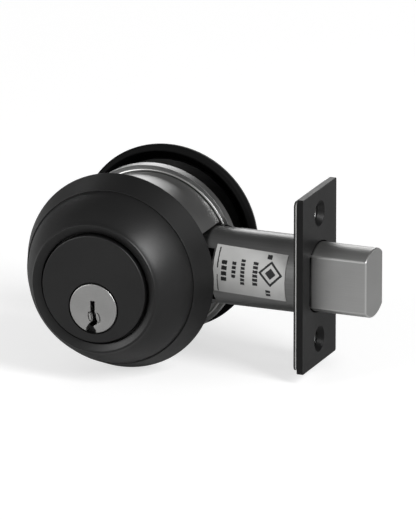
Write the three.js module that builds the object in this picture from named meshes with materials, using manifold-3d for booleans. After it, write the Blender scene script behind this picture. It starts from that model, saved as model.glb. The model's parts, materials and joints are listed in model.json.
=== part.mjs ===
// A single cylinder deadbolt for a door, thrown, as a set of separate pieces.
// Millimetres. +X runs along the bolt towards the door's edge, +Y goes from the outside of the
// door to the inside, and +Z is up. The origin is where the lock's axis crosses the bolt's axis.

import * as THREE from 'three';
import { mergeVertices } from 'three/addons/utils/BufferGeometryUtils.js';
import Module from 'manifold-3d';

const wasm = await Module();
wasm.setup();

// ---------- driving dimensions ----------

const gap = 0.3;                       // air between neighbouring pieces
const backset = 60.325;                // lock axis to the faceplate's outer face
const throwLength = 19.05;             // the bolt's travel
const noseSink = 0.55;                 // the drawn-back bolt's end sits this far inside the faceplate
const noseX = backset + throwLength - noseSink;
const doorFront = -17.6;               // outside face of the door
const doorBack = 20.4;                 // inside face of the door

const coarse = 16;                     // facets round a pin or a screw
const medium = 32;                     // facets round a bore or a hub
const fine = 48;                       // facets round the trim

const collar = { rearR: 31.8, creaseR: 28.5, creaseY: -26.1, lipR: 20.8, lipY: -39.5, holeR: 18.05,
  seatR: 15.3, floor: 2.2 };
const insert = { r: 20, depth: 1.5, washerInnerR: 15.5, washerR: 19.6 };
const cylinder = { headR: 17.44, faceY: -39.9, seatY: -36.1, bodyR: 14.6, endY: doorFront + 0.1 };
const plug = { z: -6.2, faceR: 7.94, faceY: -40.2, faceDepth: 2, bodyR: 6.35, endY: -13.4 };
const pins = { count: 5, firstY: -33.5, pitch: 3.5, r: 1.4, driverLength: 4, springTop: 9.6 };
const keyPinLengths = [3.6, 4.4, 3.3, 4.7, 3.9];
const tailpiece = { width: 4.6, thick: 1.2, startY: -15, endY: 15 };

const drum = { r: 26.3, wall: 2, frontY: doorFront + 0.4, rearY: 4.7, web: 2.5, webHoleR: 8.2,
  bossR: 4.2, bossY: -2 };
const ring = { r: 28.3, innerR: 22.8, frontY: 5, rearY: 8.2 };
const chassisX = 2.4;                  // the drum and the ring sit this far towards the bolt
const throughBolt = { z: 19.5, r: 2.3, headR: 4.2, headLength: 2.5, tipY: -13 };

const plate = { width: 28.575, height: 57.15, thick: 2, screwZ: 20.65, screwR: 2.6, sinkR: 4.2,
  sinkFloorR: 2.3 };
const backing = { width: 27.6, height: 55.4, thick: 1, holeR: 12.5 };
const tube = { r: 12.2, wall: 0.7, startX: 16, windowStart: 18.5, windowEnd: 28.5, windowTop: 8,
  windowBottom: -9 };
const tubeNotch = { r: tube.r + 0.4, frontZ: 10.5 };   // round the tube, in the drum and the ring
const label = { startX: 29.2, endX: 53.6, r: tube.r + gap, thick: 0.25, lowAngle: 24, highAngle: -49 };
const bolt = { r: 11.1125, flatY: 7.14, rearX: 29, bevel: 0.5, tailSlotX: 38.5 };
const sideFrame = { innerY: 8.4, thick: 0.9, startX: -16, stepX: 14.5, endX: 27, tall: 15.2, low: 6.4,
  corner: 4 };
const spacer = { r: 1.5, places: [[-12.8, -9.2], [12, 13.1]] };
const crank = { arm: 13.47, hubR: 3.6, hubY: 10, armY: 2.3, pinR: 1.6, pinY: 5.2, width: 4.6 };
const tail = { startX: 5.4, endX: 38, bottomZ: -1.2, topZ: 10.3, innerY: 2.7, thick: 1.6 };
const rivet = { r: 1.5, places: [[32, 5.5], [35.5, 1.2]] };

const rose = { rimR: 30.4, innerR: 28.4, backR: 22, backY: 30.8, wall: 2.5 };
const mountingPlate = { r: 25.5, frontY: 22, thick: 1.6 };
const spindle = { r: 4, startY: 10.5, endY: 40 };
const knob = { baseR: 12, frontY: 31.1, baseY: 33.2, endY: 49, length: 31, thick: 9, socketY: 40.4 };

// ---------- finishes ----------

const finish = (color, roughness, metalness) => new THREE.MeshStandardMaterial({ color, roughness, metalness });
const blackPaint = finish(0x26262a, 0.45, 0.4);
const darkSteel = finish(0x3a3a3c, 0.6, 0.7);
const satinSteel = finish(0xa8a8a6, 0.35, 0.95);
const castZinc = finish(0x8f8f8d, 0.4, 0.9);
const brightSteel = finish(0xc4c4c2, 0.25, 1);
const brass = finish(0xb5924c, 0.35, 1);
const nickelSilver = finish(0xb0aca2, 0.3, 1);
const labelStock = finish(0xbebcb6, 0.7, 0);

// ---------- shape helpers ----------

// A closed three.js geometry as a solid that can be cut and joined.
function solid(geometry) {
  const bare = geometry.clone();
  bare.deleteAttribute('normal');
  bare.deleteAttribute('uv');
  const merged = mergeVertices(bare, 1e-4);
  const index = merged.index.array;
  const triangles = [];
  for (let i = 0; i < index.length; i += 3) {
    const [a, b, c] = [index[i], index[i + 1], index[i + 2]];
    if (a !== b && b !== c && c !== a) triangles.push(a, b, c);
  }
  return new wasm.Manifold(new wasm.Mesh({
    numProp: 3,
    vertProperties: new Float32Array(merged.attributes.position.array),
    triVerts: new Uint32Array(triangles),
  }));
}

function geometryOf(body) {
  const mesh = body.getMesh();
  const geometry = new THREE.BufferGeometry();
  geometry.setAttribute('position', new THREE.BufferAttribute(new Float32Array(mesh.vertProperties), 3));
  geometry.setIndex(new THREE.BufferAttribute(new Uint32Array(mesh.triVerts), 1));
  geometry.computeVertexNormals();
  return geometry;
}

// A body turned about the Y axis from an outline of [radius, y] points, centred at (x, z).
function turned(outline, facets, x = 0, z = 0) {
  let area = 0;
  outline.forEach(([r, y], i) => {
    const [nextR, nextY] = outline[(i + 1) % outline.length];
    area += r * nextY - nextR * y;
  });
  const points = outline.map(([r, y]) => new THREE.Vector2(r, y));
  if (area < 0) points.reverse();
  const onAxis = points[0].x === 0 && points[points.length - 1].x === 0;
  if (!onAxis) points.push(points[0].clone());
  return solid(new THREE.LatheGeometry(points, facets).translate(x, 0, z));
}

const tubeY = (innerR, outerR, fromY, toY, facets, x = 0, z = 0) => turned(
  [[innerR, fromY], [outerR, fromY], [outerR, toY], [innerR, toY]], facets, x, z);

function rodY(r, fromY, toY, x, z, facets = coarse, endR = r) {
  const rod = new THREE.CylinderGeometry(endR, r, toY - fromY, facets);
  return solid(rod.translate(x, (fromY + toY) / 2, z));
}

function rodX(r, fromX, toX, y, z, facets = coarse, endR = r) {
  const rod = new THREE.CylinderGeometry(endR, r, toX - fromX, facets).rotateZ(-Math.PI / 2);
  return solid(rod.translate((fromX + toX) / 2, y, z));
}

function rodZ(r, fromZ, toZ, x, y, facets = coarse, bottomR = r) {
  const rod = new THREE.CylinderGeometry(r, bottomR, toZ - fromZ, facets).rotateX(Math.PI / 2);
  return solid(rod.translate(x, y, (fromZ + toZ) / 2));
}

function block(fromX, toX, fromY, toY, fromZ, toZ) {
  const box = new THREE.BoxGeometry(toX - fromX, toY - fromY, toZ - fromZ);
  return solid(box.translate((fromX + toX) / 2, (fromY + toY) / 2, (fromZ + toZ) / 2));
}

const unitX = new THREE.Vector3(1, 0, 0);
const unitY = new THREE.Vector3(0, 1, 0);
const unitZ = new THREE.Vector3(0, 0, 1);

// A flat shape of (x, z) points made thick from fromY to toY.
function slabY(shape, fromY, toY, facets = 6) {
  const geometry = new THREE.ExtrudeGeometry(shape, {
    depth: toY - fromY, bevelEnabled: false, curveSegments: facets });
  geometry.applyMatrix4(new THREE.Matrix4().makeBasis(unitX, unitZ, unitY.clone().negate()));
  return solid(geometry.translate(0, toY, 0));
}

// A flat shape of (y, z) points made thick from fromX to toX.
function slabX(shape, fromX, toX, facets = 6) {
  const geometry = new THREE.ExtrudeGeometry(shape, {
    depth: toX - fromX, bevelEnabled: false, curveSegments: facets });
  geometry.applyMatrix4(new THREE.Matrix4().makeBasis(unitY, unitZ, unitX));
  return solid(geometry.translate(fromX, 0, 0));
}

const polygon = (points) => new THREE.Shape(points.map(([u, v]) => new THREE.Vector2(u, v)));

// A bar with half-round ends, lying along u, centred at (u0, v0).
function roundedBar(length, width, u0 = 0, v0 = 0) {
  const half = (length - width) / 2;
  const shape = new THREE.Shape();
  shape.absarc(u0 + half, v0, width / 2, -Math.PI / 2, Math.PI / 2);
  shape.absarc(u0 - half, v0, width / 2, Math.PI / 2, Math.PI * 1.5);
  return shape;
}

// The bolt's section: a circle of radius r with flat sides at y = -flat and y = +flat.
function boltSection(r, flat) {
  const angle = Math.acos(flat / r);
  const shape = new THREE.Shape();
  shape.absarc(0, 0, r, angle, Math.PI - angle);
  shape.absarc(0, 0, r, Math.PI + angle, 2 * Math.PI - angle);
  return shape;
}

const cut = (body, ...tools) => tools.reduce((left, tool) => left.subtract(tool), body);
const join = (body, ...others) => others.reduce((sum, other) => sum.add(other), body);

const lock = new THREE.Group();
lock.name = 'deadbolt_lock';

function add(name, body, material) {
  const mesh = new THREE.Mesh(geometryOf(body), material);
  mesh.name = name;
  lock.add(mesh);
}

// ---------- outside trim ----------

function outsideCollar() {
  const floorY = cylinder.seatY + collar.floor;
  return turned([
    [collar.rearR, doorFront], [collar.creaseR, collar.creaseY],
    [26, -31], [23.3, -35.8], [21.7, -38.6], [collar.lipR, collar.lipY], [20, collar.lipY],
    [collar.holeR, collar.lipY + 1], [collar.holeR, cylinder.seatY],
    [collar.seatR, cylinder.seatY], [collar.seatR, floorY], [20.4, floorY],
    [23.2, -30.4], [25.6, -25.4], [29.2, doorFront],
  ], fine);
}
add('outside_collar', outsideCollar(), blackPaint);

const insertRearY = drum.frontY - insert.depth;
add('collar_steel_insert', tubeY(collar.seatR, insert.r, cylinder.seatY + collar.floor + gap,
  insertRearY, medium), darkSteel);
add('collar_spring_washer', tubeY(insert.washerInnerR, insert.washerR, insertRearY + gap,
  drum.frontY - gap, medium), brightSteel);

// ---------- cylinder and its key plug ----------

const pinPlaces = Array.from({ length: pins.count }, (unused, i) => pins.firstY + i * pins.pitch);
const shearZ = plug.z + plug.bodyR;
const shellBoreR = plug.bodyR + gap;
const chamberR = pins.r + gap;
const cap = { halfWidth: 1.8, startY: pins.firstY - 1.9, bottomZ: pins.springTop + 2 * gap, topZ: 11.6 };
const cylinderScrew = { x: 10.4, z: 2, r: 1.7, headR: 3.1, headLength: 1.8, tipY: -26 };

function cylinderShell() {
  const body = turned([
    [0, cylinder.faceY], [cylinder.headR, cylinder.faceY], [cylinder.headR, cylinder.seatY - gap],
    [cylinder.bodyR, cylinder.seatY - gap], [cylinder.bodyR, cylinder.endY], [0, cylinder.endY],
  ], fine);
  const tools = [
    rodY(shellBoreR, cylinder.faceY - 1, cylinder.endY + 1, 0, plug.z, medium),
    rodY(plug.faceR + gap, cylinder.faceY - 1, plug.faceY + plug.faceDepth + gap, 0, plug.z, medium),
    block(-cap.halfWidth - gap, cap.halfWidth + gap, cap.startY - gap, cylinder.endY + 1,
      cap.bottomZ - gap, cylinder.bodyR + 1),
  ];
  pinPlaces.forEach((y) => tools.push(rodZ(chamberR, plug.z, cap.bottomZ, 0, y)));
  [-1, 1].forEach((side) => tools.push(rodY(cylinderScrew.r + gap, cylinderScrew.tipY - gap,
    cylinder.endY + 1, side * cylinderScrew.x, cylinderScrew.z)));
  return cut(body, ...tools);
}
add('cylinder_shell', cylinderShell(), blackPaint);

// The keyway's outline: a straight slot above, stepped wards below, open at the plug's lower edge.
function keyway() {
  const outline = [[-0.9, 2.3], [0.4, 2.3], [0.4, -1.1], [1.7, -1.6], [1.7, -3.1], [0.4, -3.7],
    [0.4, -4.7], [-0.1, -5.1], [-0.1, -8.4], [-2.2, -8.4], [-2.2, -5.3], [-0.9, -4.5],
    [-2, -3.7], [-2, -1.8], [-0.9, -1.2]];
  return polygon(outline.map(([x, z]) => [x, z + plug.z]));
}

// The plug's neck, which the retainer ring snaps round.
const neck = { r: 5, startY: plug.endY - 3.5, endY: plug.endY - 2.2, collarR: 5.6 };

// The slot that the tailpiece's blade fits, with air all round it.
function bladeSlot(fromY, toY) {
  const halfWidth = tailpiece.width / 2 + gap;
  const halfThick = tailpiece.thick / 2 + gap;
  return block(-halfWidth, halfWidth, fromY, toY, plug.z - halfThick, plug.z + halfThick);
}

function keyPlug() {
  const body = turned([
    [0, plug.faceY], [plug.faceR, plug.faceY], [plug.faceR, plug.faceY + plug.faceDepth],
    [plug.bodyR, plug.faceY + plug.faceDepth], [plug.bodyR, neck.startY], [neck.r, neck.startY],
    [neck.r, neck.endY], [neck.collarR, neck.endY], [neck.collarR, plug.endY], [0, plug.endY],
  ], medium, 0, plug.z);
  const keyEnd = neck.startY - 0.7;
  const tools = [slabY(keyway(), plug.faceY - 1, keyEnd)];
  pinPlaces.forEach((y) => tools.push(rodZ(chamberR, plug.z + 1, shearZ + 1, 0, y)));
  tools.push(bladeSlot(tailpiece.startY - gap, plug.endY + 1));
  return cut(body, ...tools);
}
add('key_plug', keyPlug(), satinSteel);

// A ring with a gap, which snaps into a groove round a shaft of radius innerR.
function snapRing(innerR, outerR, fromY, toY, z, openHalf) {
  const body = tubeY(innerR, outerR, fromY, toY, medium, 0, z);
  return cut(body, block(-openHalf, openHalf, fromY - 1, toY + 1, z - outerR - 1, z));
}
add('plug_retainer', snapRing(neck.r + gap, 7.6, neck.startY + gap, neck.endY - gap, plug.z, 3), brightSteel);

// A steel wire wound upwards round the line x = 0, y = its pin's place.
class CoilPath extends THREE.Curve {
  constructor(y, fromZ, toZ, coilR, turns) {
    super();
    Object.assign(this, { y, fromZ, toZ, coilR, turns });
  }

  getPoint(t, target = new THREE.Vector3()) {
    const angle = t * this.turns * 2 * Math.PI;
    return target.set(this.coilR * Math.cos(angle), this.y + this.coilR * Math.sin(angle),
      this.fromZ + t * (this.toZ - this.fromZ));
  }
}

function pinSpring(y, fromZ, toZ) {
  const wireR = 0.18;
  const turns = 4;
  const stepsPerTurn = 8;
  const section = new THREE.Shape();
  section.absarc(0, 0, wireR, 0, 2 * Math.PI);
  const path = new CoilPath(y, fromZ + wireR, toZ - wireR, pins.r - wireR, turns);
  return solid(new THREE.ExtrudeGeometry(section, {
    steps: turns * stepsPerTurn, curveSegments: 2, bevelEnabled: false, extrudePath: path }));
}

const pinFacets = 12;
const pinTip = { r: 0.6, length: 0.8 };
const pinTop = shearZ - gap / 2;       // the key holds each key pin's top at the shear line
const driverZ = shearZ + gap;
const springZ = driverZ + pins.driverLength + gap;

pinPlaces.forEach((y, i) => {
  const number = i + 1;
  const tipZ = pinTop - keyPinLengths[i];
  const shankZ = tipZ + pinTip.length;
  const shank = rodZ(pins.r, shankZ, pinTop, 0, y, pinFacets);
  const tip = rodZ(pins.r, tipZ, shankZ, 0, y, pinFacets, pinTip.r);
  add(`key_pin_${number}`, join(shank, tip), brass);
  add(`driver_pin_${number}`, rodZ(pins.r, driverZ, driverZ + pins.driverLength, 0, y, pinFacets), brass);
  add(`pin_spring_${number}`, pinSpring(y, springZ, pins.springTop), brightSteel);
});
add('pin_chamber_cap', block(-cap.halfWidth, cap.halfWidth, cap.startY, cylinder.endY, cap.bottomZ,
  cap.topZ), brass);

// A flat blade driven by the plug, which turns the crank and reaches the inside spindle.
function blade() {
  return block(-tailpiece.width / 2, tailpiece.width / 2, tailpiece.startY, tailpiece.endY,
    plug.z - tailpiece.thick / 2, plug.z + tailpiece.thick / 2);
}
add('tailpiece', blade(), darkSteel);

// A screw with its head at headY, its driver slot facing headSide along Y.
function slottedScrew(x, z, r, headR, tipY, seatY, headLength) {
  const body = turned([[0, tipY], [r * 0.7, tipY], [r, tipY + 1], [r, seatY], [headR, seatY],
    [headR, seatY + headLength * 0.7], [headR * 0.8, seatY + headLength], [0, seatY + headLength]],
  coarse, x, z);
  const slotDepth = headLength * 0.45;
  const slotHalf = 0.5;
  return cut(body, block(x - headR - 1, x + headR + 1, seatY + headLength - slotDepth,
    seatY + headLength + 1, z - slotHalf, z + slotHalf));
}

const webRear = drum.frontY + drum.web;
[-1, 1].forEach((side, i) => {
  add(`cylinder_screw_${i + 1}`, slottedScrew(side * cylinderScrew.x, cylinderScrew.z,
    cylinderScrew.r, cylinderScrew.headR, cylinderScrew.tipY, webRear + gap, cylinderScrew.headLength),
  brightSteel);
});

// ---------- chassis between the two trims ----------

function chassisDrum() {
  const wall = turned([
    [0, drum.frontY], [drum.r, drum.frontY], [drum.r, drum.rearY], [drum.r - drum.wall, drum.rearY],
    [drum.r - drum.wall, webRear], [0, webRear],
  ], fine, chassisX);
  const bosses = [-1, 1].map((side) => rodY(drum.bossR, webRear - 0.5, drum.bossY, 0,
    side * throughBolt.z));
  const notchEnd = drum.r + chassisX + 1;
  const tools = [
    rodY(drum.webHoleR, drum.frontY - 1, webRear + 1, 0, plug.z, medium),
    rodX(tubeNotch.r, 0, notchEnd, 0, 0, fine),
    block(0, notchEnd, -tubeNotch.r, 0, -tubeNotch.frontZ, tubeNotch.frontZ),
    block(0, notchEnd, 0, drum.rearY + 1, -tubeNotch.r, tubeNotch.r),
  ];
  [-1, 1].forEach((side) => {
    tools.push(rodY(throughBolt.r + gap, drum.frontY - 1, drum.bossY + 1, 0, side * throughBolt.z));
    tools.push(rodY(cylinderScrew.r + gap, drum.frontY - 1, webRear + 1, side * cylinderScrew.x,
      cylinderScrew.z));
  });
  return cut(join(wall, ...bosses), ...tools);
}
add('chassis_drum', chassisDrum(), castZinc);

function supportRing() {
  const body = tubeY(ring.innerR, ring.r, ring.frontY, ring.rearY, fine, chassisX);
  return cut(body, rodX(tubeNotch.r, 0, ring.r + chassisX + 1, 0, 0, fine));
}
add('support_ring', supportRing(), castZinc);

[1, -1].forEach((side, i) => {
  add(`through_bolt_${i + 1}`, slottedScrew(0, side * throughBolt.z, throughBolt.r,
    throughBolt.headR, throughBolt.tipY, mountingPlate.frontY + mountingPlate.thick + gap,
    throughBolt.headLength), brightSteel);
});

// ---------- bolt assembly ----------

function withScrewSinks(body, frontX) {
  const sinks = [];
  [-1, 1].forEach((side) => {
    const z = side * plate.screwZ;
    sinks.push(rodX(plate.screwR, frontX - 6, frontX + 1, 0, z));
    sinks.push(rodX(plate.sinkFloorR, frontX - plate.thick, frontX + 0.1, 0, z, coarse, plate.sinkR));
  });
  return cut(body, ...sinks);
}

function rectangle(width, height) {
  return polygon([[-width / 2, -height / 2], [width / 2, -height / 2], [width / 2, height / 2],
    [-width / 2, height / 2]]);
}

const plateBack = backset - plate.thick;
const plateOpening = { r: bolt.r + 0.45, flatY: 8.4 };

function faceplate() {
  const body = slabX(rectangle(plate.width, plate.height), plateBack, backset);
  const opening = boltSection(plateOpening.r, plateOpening.flatY);
  return withScrewSinks(cut(body, slabX(opening, plateBack - 1, backset + 1, 12)), backset);
}
add('faceplate', faceplate(), blackPaint);

function backingPlate() {
  const frontX = plateBack - gap;
  const body = slabX(rectangle(backing.width, backing.height), frontX - backing.thick, frontX);
  const opening = rodX(backing.holeR, frontX - backing.thick - 1, frontX + 1, 0, 0, medium);
  return withScrewSinks(cut(body, opening), frontX + 1);
}
add('backing_plate', backingPlate(), brightSteel);

// The tube that the bolt slides in, with a window through each side at its inner end.
function boltTube() {
  const outer = rodX(tube.r, tube.startX, plateBack - gap, 0, 0, fine);
  const bore = rodX(tube.r - tube.wall, tube.startX - 1, plateBack, 0, 0, fine);
  const windows = block(tube.windowStart, tube.windowEnd, -tube.r - 1, tube.r + 1,
    tube.windowBottom, tube.windowTop);
  return cut(outer, bore, windows);
}
add('bolt_tube', boltTube(), brightSteel);

// A curved plate on the tube's outside half, between two angles below and above the horizontal.
function typeLabel() {
  const steps = 8;
  const outer = [];
  const inner = [];
  for (let i = 0; i <= steps; i += 1) {
    const degrees = label.lowAngle + (label.highAngle - label.lowAngle) * (i / steps);
    const angle = THREE.MathUtils.degToRad(180 + degrees);
    const along = [Math.cos(angle), Math.sin(angle)];
    outer.push(along.map((c) => c * (label.r + label.thick)));
    inner.unshift(along.map((c) => c * label.r));
  }
  return slabX(polygon([...outer, ...inner]), label.startX, label.endX);
}
add('type_label', typeLabel(), labelStock);

// A loose hardened pin inside the bolt, which turns under a saw's blade.
const guard = { r: 3, z: -5, startX: bolt.tailSlotX - 6, endX: noseX - 5.3 };

function deadboltBar() {
  const bar = slabX(boltSection(bolt.r, bolt.flatY), bolt.rearX, noseX - bolt.bevel, 14);
  const nose = slabX(boltSection(bolt.r - bolt.bevel, bolt.flatY - bolt.bevel),
    noseX - bolt.bevel - 0.2, noseX, 14);
  const slotInner = tail.innerY - gap;
  const slotOuter = tail.innerY + tail.thick + gap;
  const tools = [rodX(guard.r + gap, bolt.rearX - 1, guard.endX + gap, 0, guard.z, coarse)];
  [-1, 1].forEach((side) => {
    const edges = [side * slotInner, side * slotOuter].sort((a, b) => a - b);
    tools.push(block(bolt.rearX - 1, bolt.tailSlotX, edges[0], edges[1], -12, 12));
  });
  rivet.places.forEach(([x, z]) => tools.push(
    rodY(rivet.r + gap, -bolt.flatY - 1, bolt.flatY + 1, x, z)));
  return cut(join(bar, nose), ...tools);
}
add('bolt', deadboltBar(), satinSteel);
add('saw_guard_pin', rodX(guard.r, guard.startX, guard.endX, 0, guard.z), darkSteel);

// One of the two tail plates, with the upright slot that the crank's pin works in.
function tailPlate(side) {
  const edges = [side * tail.innerY, side * (tail.innerY + tail.thick)].sort((a, b) => a - b);
  const body = block(tail.startX, tail.endX, edges[0], edges[1], tail.bottomZ, tail.topZ);
  const slotX = crank.arm * Math.SQRT1_2;
  const pinLow = plug.z + crank.arm * Math.SQRT1_2;
  const pinHigh = plug.z + crank.arm;
  const clearX = crank.pinR + 0.65;
  const clearZ = crank.pinR + 0.4;
  const slot = block(slotX - clearX, slotX + clearX, edges[0] - 1, edges[1] + 1,
    pinLow - clearZ, pinHigh + clearZ);
  const rivetHoles = rivet.places.map(([x, z]) => rodY(rivet.r + gap, edges[0] - 1, edges[1] + 1, x, z));
  return cut(body, slot, ...rivetHoles);
}
add('bolt_tail_front', tailPlate(-1), darkSteel);
add('bolt_tail_rear', tailPlate(1), darkSteel);
rivet.places.forEach(([x, z], i) => {
  add(`tail_rivet_${i + 1}`, rodY(rivet.r, -bolt.flatY, bolt.flatY, x, z), brightSteel);
});

// The hub that the tailpiece turns, with its arm up and forward while the bolt is thrown.
function crankHub() {
  const barrel = rodY(crank.hubR, -crank.hubY, crank.hubY, 0, plug.z, medium);
  const reach = crank.arm * Math.SQRT1_2;
  const side = (crank.width / 2) * Math.SQRT1_2;
  const pastPin = 1.6;
  const arm = slabY(polygon([
    [side, plug.z - side], [reach + side + pastPin, plug.z + reach - side + pastPin],
    [reach - side + pastPin, plug.z + reach + side + pastPin], [-side, plug.z + side],
  ]), -crank.armY, crank.armY);
  return cut(join(barrel, arm), bladeSlot(-crank.hubY - 1, crank.hubY + 1),
    rodY(crank.pinR + gap, -crank.armY - 1, crank.armY + 1, reach, plug.z + reach));
}
add('crank_hub', crankHub(), castZinc);
add('crank_pin', rodY(crank.pinR, -crank.pinY, crank.pinY, crank.arm * Math.SQRT1_2,
  plug.z + crank.arm * Math.SQRT1_2), darkSteel);

// One of the two side frames that carry the crank's hub behind the tube.
function bearingPlate(fromY) {
  const { startX, stepX, endX, tall, low, thick, corner } = sideFrame;
  const outline = polygon([[startX, corner - tall], [startX + corner, -tall], [stepX, -tall],
    [stepX, -low], [endX, -low], [endX, low], [stepX, low], [stepX, tall],
    [startX + corner, tall], [startX, tall - corner]]);
  const holes = [rodY(crank.hubR + gap, fromY - 1, fromY + thick + 1, 0, plug.z, medium)];
  spacer.places.forEach(([x, z]) => holes.push(
    rodY(spacer.r + gap, fromY - 1, fromY + thick + 1, x, z)));
  return cut(slabY(outline, fromY, fromY + thick), ...holes);
}
add('bearing_plate_front', bearingPlate(-sideFrame.innerY - sideFrame.thick), darkSteel);
add('bearing_plate_rear', bearingPlate(sideFrame.innerY), darkSteel);
spacer.places.forEach(([x, z], i) => {
  const reach = sideFrame.innerY + sideFrame.thick + 0.5;
  add(`frame_spacer_${i + 1}`, rodY(spacer.r, -reach, reach, x, z), brightSteel);
});

// A leaf under the hub, which holds the crank at either end of its swing.
function detentSpring() {
  const hubBottom = plug.z - crank.hubR;
  const top = hubBottom - gap;
  const leaf = polygon([[-9.5, top - 1.4], [-5, top - 1.4], [-3, top - 0.5], [3, top - 0.5],
    [5, top - 1.4], [8.5, top - 1.4], [8.5, top - 0.9], [5.2, top - 0.9], [3.2, top],
    [-3.2, top], [-5.2, top - 0.9], [-9.5, top - 0.9]]);
  return slabY(leaf, -6.5, 6.5);
}
add('detent_spring', detentSpring(), brightSteel);

// ---------- inside trim ----------

const spindleHoleR = spindle.r + 0.6;

function insideRose() {
  const cup = turned([
    [0, rose.backY - rose.wall], [24.2, rose.backY - rose.wall - 0.6], [27.4, 24.4],
    [rose.innerR, doorBack], [29.8, doorBack], [rose.rimR, 21.2], [29.7, 24.8], [26.6, 29],
    [rose.backR, rose.backY],
    [0, rose.backY],
  ], fine);
  return cut(cup, rodY(spindleHoleR, rose.backY - 6, rose.backY + 1, 0, plug.z, medium));
}
add('inside_rose', insideRose(), blackPaint);

function mountingDisc() {
  const endY = mountingPlate.frontY + mountingPlate.thick;
  const disc = turned([[0, mountingPlate.frontY], [mountingPlate.r, mountingPlate.frontY],
    [mountingPlate.r, endY], [0, endY]], medium);
  const holes = [rodY(spindleHoleR, mountingPlate.frontY - 1, endY + 1, 0, plug.z, medium)];
  [-1, 1].forEach((side) => holes.push(rodY(throughBolt.r + gap, mountingPlate.frontY - 1,
    endY + 1, 0, side * throughBolt.z)));
  return cut(disc, ...holes);
}
add('mounting_plate', mountingDisc(), darkSteel);

// The spindle's groove, just behind the mounting plate, holds a clip and a washer against the plate.
const groove = { y: mountingPlate.frontY + mountingPlate.thick + gap, width: 1.4, depth: 0.8 };

function thumbturnSpindle() {
  const { r, startY, endY } = spindle;
  const body = turned([[0, startY], [r, startY], [r, groove.y], [r - groove.depth, groove.y],
    [r - groove.depth, groove.y + groove.width], [r, groove.y + groove.width], [r, endY], [0, endY]],
  medium, 0, plug.z);
  return cut(body, bladeSlot(startY - 1, tailpiece.endY + 1));
}
add('thumbturn_spindle', thumbturnSpindle(), castZinc);
add('spindle_clip', snapRing(spindle.r - groove.depth + gap, 6.8, groove.y + gap,
  groove.y + groove.width - gap, plug.z, 2.4), brightSteel);
add('spindle_washer', tubeY(spindle.r + gap, 8.4, groove.y + 2, groove.y + 2.8, medium, 0, plug.z),
  brightSteel);

function thumbturnKnob() {
  const edge = 0.8;
  const base = turned([[0, knob.frontY], [knob.baseR, knob.frontY], [knob.baseR, knob.baseY - edge],
    [knob.baseR - edge, knob.baseY], [0, knob.baseY]], medium, 0, plug.z);
  const grip = slabY(roundedBar(knob.length, knob.thick, 0, plug.z), knob.baseY - 0.5, knob.endY, 8);
  return cut(join(base, grip), rodY(spindle.r + gap, knob.frontY - 1, knob.socketY, 0, plug.z, medium));
}
add('thumbturn_knob', thumbturnKnob(), blackPaint);

export default lock;
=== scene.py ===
import json
import math
import bpy
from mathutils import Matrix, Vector


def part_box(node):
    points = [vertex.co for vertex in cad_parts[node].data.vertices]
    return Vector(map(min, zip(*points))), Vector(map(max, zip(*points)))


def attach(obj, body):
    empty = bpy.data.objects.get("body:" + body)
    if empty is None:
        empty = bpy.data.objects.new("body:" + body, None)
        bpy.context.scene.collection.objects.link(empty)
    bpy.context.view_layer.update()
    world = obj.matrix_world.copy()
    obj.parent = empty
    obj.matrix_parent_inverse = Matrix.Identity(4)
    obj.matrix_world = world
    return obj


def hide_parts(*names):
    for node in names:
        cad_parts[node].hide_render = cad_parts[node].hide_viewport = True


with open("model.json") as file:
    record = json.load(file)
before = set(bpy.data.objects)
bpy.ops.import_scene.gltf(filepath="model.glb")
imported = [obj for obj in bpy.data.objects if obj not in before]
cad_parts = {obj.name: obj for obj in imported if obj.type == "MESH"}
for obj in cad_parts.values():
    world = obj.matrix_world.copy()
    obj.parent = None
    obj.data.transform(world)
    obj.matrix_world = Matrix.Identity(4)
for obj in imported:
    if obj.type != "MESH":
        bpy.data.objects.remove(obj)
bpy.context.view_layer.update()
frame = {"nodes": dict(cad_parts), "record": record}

mm = 0.001
nodes = frame["nodes"]


def boxOf(node):
    low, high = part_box(node)
    return Vector(low) / mm, Vector(high) / mm


cameraSet = {
    "azimuth": 22.24,
    "elevation": 17.18,
    "distance": 3.0,
    "sensor": 36,
    "pictureHeight": 0.16461,      # metres of the object that the picture's height takes in
    "aimAcross": 0.0208,
    "aimUp": -0.00167,
}


def makeCamera():
    turn = math.radians(cameraSet["azimuth"])
    tilt = math.radians(cameraSet["elevation"])
    across = Vector((math.cos(turn), math.sin(turn), 0))
    up = Vector((-math.sin(turn) * math.sin(tilt), math.cos(turn) * math.sin(tilt), math.cos(tilt)))
    back = across.cross(up)
    aim = across * cameraSet["aimAcross"] + up * cameraSet["aimUp"]
    bpy.ops.object.camera_add(location=aim + back * cameraSet["distance"])
    camera = bpy.context.object
    camera.name = "camera"
    camera.rotation_mode = "QUATERNION"
    camera.rotation_quaternion = (-back).to_track_quat("-Z", "Y")
    camera.data.sensor_width = cameraSet["sensor"]
    camera.data.lens = cameraSet["sensor"] * cameraSet["distance"] / cameraSet["pictureHeight"]
    camera.data.clip_end = 20
    bpy.context.scene.camera = camera


bpy.ops.object.select_all(action="DESELECT")
makeCamera()
print("camera placed")


class Wire:                # one socket of a material, so that shader maths reads as arithmetic
    def __init__(self, board, socket):
        self.board = board
        self.socket = socket

    def maths(self, operation, *values):
        return self.board.node("ShaderNodeMath", {"operation": operation}, dict(enumerate(values)))

    def __add__(self, other):
        return self.maths("ADD", self, other)

    def __sub__(self, other):
        return self.maths("SUBTRACT", self, other)

    def __rsub__(self, other):
        return self.maths("SUBTRACT", other, self)

    def __mul__(self, other):
        return self.maths("MULTIPLY", self, other)

    def __gt__(self, other):
        return self.maths("GREATER_THAN", self, other)

    def __lt__(self, other):
        return self.maths("LESS_THAN", self, other)

    def __abs__(self):
        return self.maths("ABSOLUTE", self)

    __radd__ = __add__
    __rmul__ = __mul__


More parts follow.
